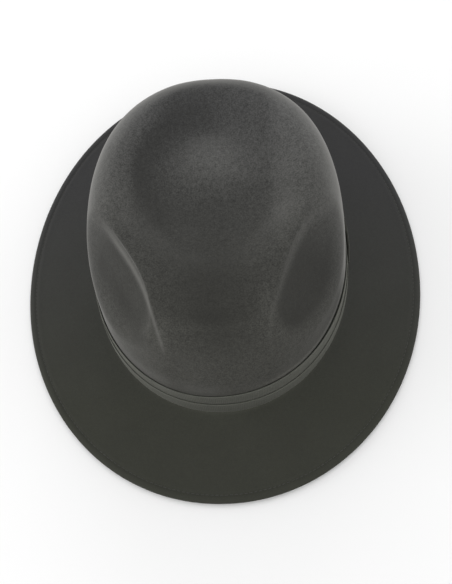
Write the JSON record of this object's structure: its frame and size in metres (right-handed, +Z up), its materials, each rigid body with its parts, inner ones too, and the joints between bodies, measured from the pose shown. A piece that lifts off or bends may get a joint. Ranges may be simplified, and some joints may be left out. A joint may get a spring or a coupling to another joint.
{
  "type": "fedora hat",
  "caption": "Soft felt fedora with a teardrop crown, side pinches, stitched snap brim, ribbon band with flat side bow, leather sweatband and satin lining.",
  "frame": {"origin": "centre of the head opening, on the flat underside of the brim around it", "axes": "+Z up through the crown, -Y to the front of the hat, +X to the wearer's left, where the bow is"},
  "size_m": [0.279, 0.33, 0.1229],
  "materials": {
    "felt": "brushed fur felt, very dark olive grey, soft nap",
    "brim_thread": "matt sewing thread",
    "grosgrain": "ribbed grosgrain ribbon, slight sheen",
    "sweat_leather": "smooth sheepskin, satin",
    "reed": "matt",
    "tape": "matt woven tape",
    "leather_thread": "sewing thread",
    "small_ribbon": "narrow grosgrain ribbon",
    "satin": "satin, glossy along the warp",
    "piping": "satin-covered cord"
  },
  "bodies": {
    "hat": {"felt_body": "felt", "brim_stitching": "brim_thread", "hat_band": "grosgrain", "hat_band_overlay": "grosgrain", "band_tacks": "brim_thread", "bow_tail": "grosgrain", "bow_front_loop": "grosgrain", "bow_back_loop": "grosgrain", "bow_knot": "grosgrain", "bow_tacks": "brim_thread", "sweatband": "sweat_leather", "sweatband_reed": "reed", "reed_tape": "tape", "sweatband_stitching": "leather_thread", "sweatband_seam": "leather_thread", "sweatband_bow": "small_ribbon", "lining_side": "satin", "lining_tip": "satin", "lining_piping": "piping", "lining_tacks": "brim_thread"},
    "front_brim": {"front_brim": "felt", "front_brim_stitching": "brim_thread"}
  },
  "joints": [
    {"name": "front_brim_snap", "type": "hinge", "parent": "hat", "child": "front_brim", "pos_m": [0, -0.115, -0.0005], "axis": [-1, 0, 0], "range_deg": [-20, 35], "stiffness_Nm_per_rad": 0.5}
  ]
}
